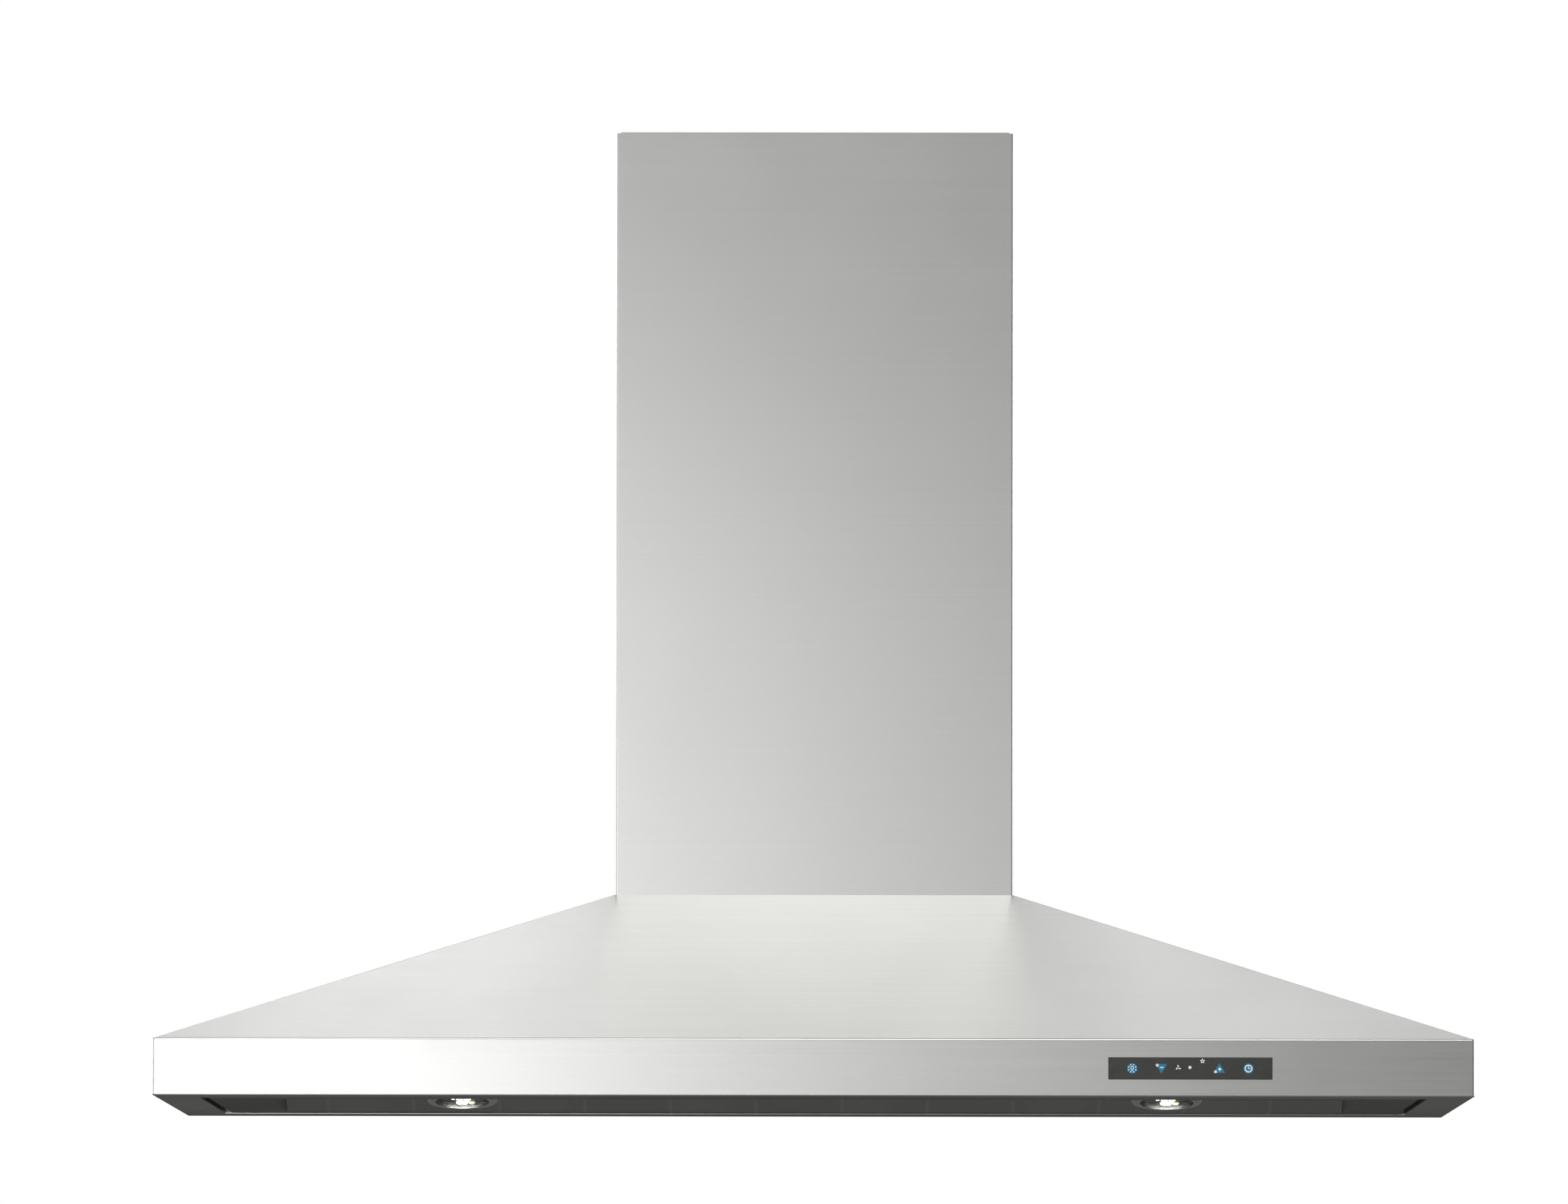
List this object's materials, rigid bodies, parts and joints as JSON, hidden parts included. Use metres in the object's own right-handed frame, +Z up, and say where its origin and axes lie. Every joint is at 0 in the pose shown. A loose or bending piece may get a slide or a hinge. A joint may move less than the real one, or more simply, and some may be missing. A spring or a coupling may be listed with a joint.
{
  "type": "island range hood",
  "caption": "Island cooker hood: pyramid canopy under a telescoping rectangular chimney, with hinged baffle filters, lamps, touch strip, blower and duct damper.",
  "frame": {"origin": "centre of the ceiling bracket's four bolts, on the bracket's top face, against the ceiling", "axes": "+X to the right of a user facing the control strip, +Y to the rear, +Z up; the hood hangs below"},
  "size_m": [1.067, 0.7004, 0.798],
  "materials": {
    "stainless": "brushed stainless sheet",
    "stainless_inside": "stainless sheet, finer grain",
    "galvanised": "zinc-coated sheet",
    "filter_steel": "polished stainless baffles",
    "zinc_screws": "bright screws and pins",
    "black_plastic": "moulded black plastic",
    "grey_plastic": "moulded grey plastic",
    "motor_metal": "dark painted motor can",
    "control_glass": "dark tinted glass",
    "touch_blue": "blue key print on the glass",
    "touch_white": "white key print on the glass",
    "lamp_glass": "clear lens",
    "lamp_chrome": "polished bezel",
    "lamp_board": "white board with light-emitting chips",
    "cast_aluminium": "bare aluminium",
    "board_green": "printed circuit board",
    "cable_sheath": "grey cable sheath"
  },
  "bodies": {
    "ceiling_frame": {"ceiling_bracket": "galvanised", "upper_rails": "galvanised", "upper_chimney_cover": "stainless", "upper_cover_screws": "zinc_screws"},
    "canopy": {"canopy_shell": "stainless", "canopy_deck": "galvanised", "lower_rails": "galvanised", "rail_lock_bolts": "zinc_screws", "lower_chimney_front": "stainless", "lower_chimney_rear": "stainless", "chimney_seam_screws": "zinc_screws", "badge_plate": "stainless", "right_side_panel": "stainless_inside", "left_side_panel": "stainless_inside", "front_lamp_panel": "stainless_inside", "rear_lamp_panel": "stainless_inside", "underside_screws": "zinc_screws", "filter_pivot_brackets": "stainless_inside", "filter_crossbars": "stainless_inside", "blower_box": "galvanised", "deck_bolts": "zinc_screws", "blower_scroll": "galvanised", "left_inlet_plate": "galvanised", "right_inlet_plate": "galvanised", "motor_body": "motor_metal", "motor_bracket": "galvanised", "motor_capacitor": "grey_plastic", "duct_collar": "galvanised", "damper_pins": "zinc_screws", "power_box": "black_plastic", "power_box_lid": "black_plastic", "power_board": "board_green", "led_driver": "grey_plastic", "junction_box": "galvanised", "junction_box_lid": "galvanised", "terminal_block": "grey_plastic", "wiring": "cable_sheath", "control_glass": "control_glass", "control_housing": "black_plastic", "control_board": "board_green", "lamp_bezels": "lamp_chrome", "lamp_lenses": "lamp_glass", "lamp_led_boards": "lamp_board", "lamp_bodies": "cast_aluminium", "filter_keepers": "stainless_inside", "touch_icons": "touch_blue", "touch_symbols": "touch_white"},
    "blower_wheel": {"impeller": "grey_plastic", "motor_shaft": "zinc_screws"},
    "left_damper_flap": {"left_damper_flap": "galvanised"},
    "right_damper_flap": {"right_damper_flap": "galvanised"},
    "left_filter": {"left_filter_frame": "filter_steel", "left_filter_baffles": "filter_steel"},
    "left_latch": {"left_filter_latch": "black_plastic"},
    "middle_filter": {"middle_filter_frame": "filter_steel", "middle_filter_baffles": "filter_steel"},
    "middle_latch": {"middle_filter_latch": "black_plastic"},
    "right_filter": {"right_filter_frame": "filter_steel", "right_filter_baffles": "filter_steel"},
    "right_latch": {"right_filter_latch": "black_plastic"}
  },
  "joints": [
    {"name": "height_slide", "type": "slide", "parent": "ceiling_frame", "child": "canopy", "axis": [0, 0, -1], "range_m": [0, 0.38]},
    {"name": "blower_spin", "type": "hinge", "parent": "canopy", "child": "blower_wheel", "pos_m": [0, -0.014, -0.506], "axis": [1, 0, 0], "continuous": true},
    {"name": "left_damper_hinge", "type": "hinge", "parent": "canopy", "child": "left_damper_flap", "pos_m": [-0.005, 0.0465, -0.339], "axis": [0, 1, 0], "range_deg": [0, 75]},
    {"name": "right_damper_hinge", "type": "hinge", "parent": "canopy", "child": "right_damper_flap", "pos_m": [0.005, 0.0465, -0.339], "axis": [0, -1, 0], "range_deg": [0, 75]},
    {"name": "left_filter_hinge", "type": "hinge", "parent": "canopy", "child": "left_filter", "pos_m": [-0.29913, 0.12, -0.774], "axis": [1, 0, 0], "range_deg": [0, 60]},
    {"name": "middle_filter_hinge", "type": "hinge", "parent": "canopy", "child": "middle_filter", "pos_m": [0, 0.12, -0.774], "axis": [1, 0, 0], "range_deg": [0, 60]},
    {"name": "right_filter_hinge", "type": "hinge", "parent": "canopy", "child": "right_filter", "pos_m": [0.29913, 0.12, -0.774], "axis": [1, 0, 0], "range_deg": [0, 60]},
    {"name": "left_latch_slide", "type": "slide", "parent": "left_filter", "child": "left_latch", "axis": [0, 1, 0], "range_m": [0, 0.005], "stiffness_N_per_m": 300, "springref_m": -0.004},
    {"name": "middle_latch_slide", "type": "slide", "parent": "middle_filter", "child": "middle_latch", "axis": [0, 1, 0], "range_m": [0, 0.005], "stiffness_N_per_m": 300, "springref_m": -0.004},
    {"name": "right_latch_slide", "type": "slide", "parent": "right_filter", "child": "right_latch", "axis": [0, 1, 0], "range_m": [0, 0.005], "stiffness_N_per_m": 300, "springref_m": -0.004}
  ]
}
